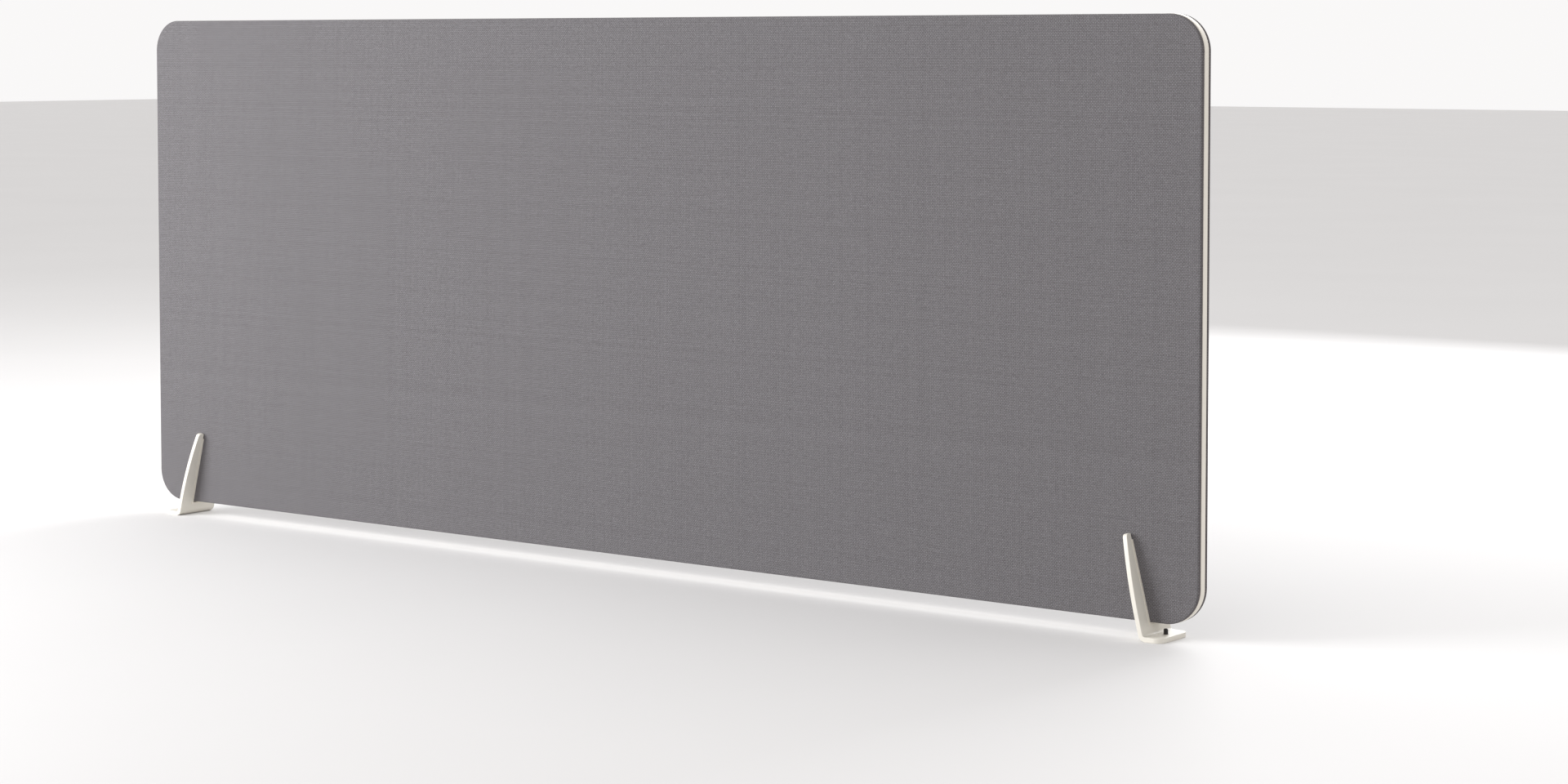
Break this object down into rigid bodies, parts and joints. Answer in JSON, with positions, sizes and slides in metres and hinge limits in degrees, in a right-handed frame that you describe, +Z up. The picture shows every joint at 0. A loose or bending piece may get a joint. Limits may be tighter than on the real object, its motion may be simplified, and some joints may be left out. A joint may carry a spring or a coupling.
{
  "type": "desk privacy panel",
  "caption": "Rounded double-sided upholstered desk screen on a white-edged core, held near each end by a leaning bent steel fork bracket with a screw-down foot.",
  "frame": {"origin": "midway between the two foot screws, on the plane that the feet stand on", "axes": "+X along the panel to the right as seen from the front, +Y through the panel to the rear, +Z up"},
  "size_m": [1.8, 0.068, 0.7575],
  "materials": {
    "core_board": "pressed wood fibre board",
    "edge_band": "cream white satin edge band",
    "cover_fabric": "fine hopsack weave, warm grey",
    "padding": "needled polyester fleece",
    "backing_board": "tempered hardboard",
    "hook_and_loop": "black hook-and-loop pad",
    "bracket_coating": "fine cream powder coat",
    "notch_trim": "cream soft plastic trim",
    "screw_steel": "black oxide"
  },
  "bodies": {
    "root": {"core_board": "core_board", "edge_band": "edge_band", "front_fabric": "cover_fabric", "front_padding": "padding", "front_backing_board": "backing_board", "front_hook_pads": "hook_and_loop", "front_loop_pads": "hook_and_loop", "rear_fabric": "cover_fabric", "rear_padding": "padding", "rear_backing_board": "backing_board", "rear_hook_pads": "hook_and_loop", "rear_loop_pads": "hook_and_loop", "left_bracket": "bracket_coating", "left_notch_trim": "notch_trim", "left_foot_screw": "screw_steel", "right_bracket": "bracket_coating", "right_notch_trim": "notch_trim", "right_foot_screw": "screw_steel"}
  },
  "joints": []
}
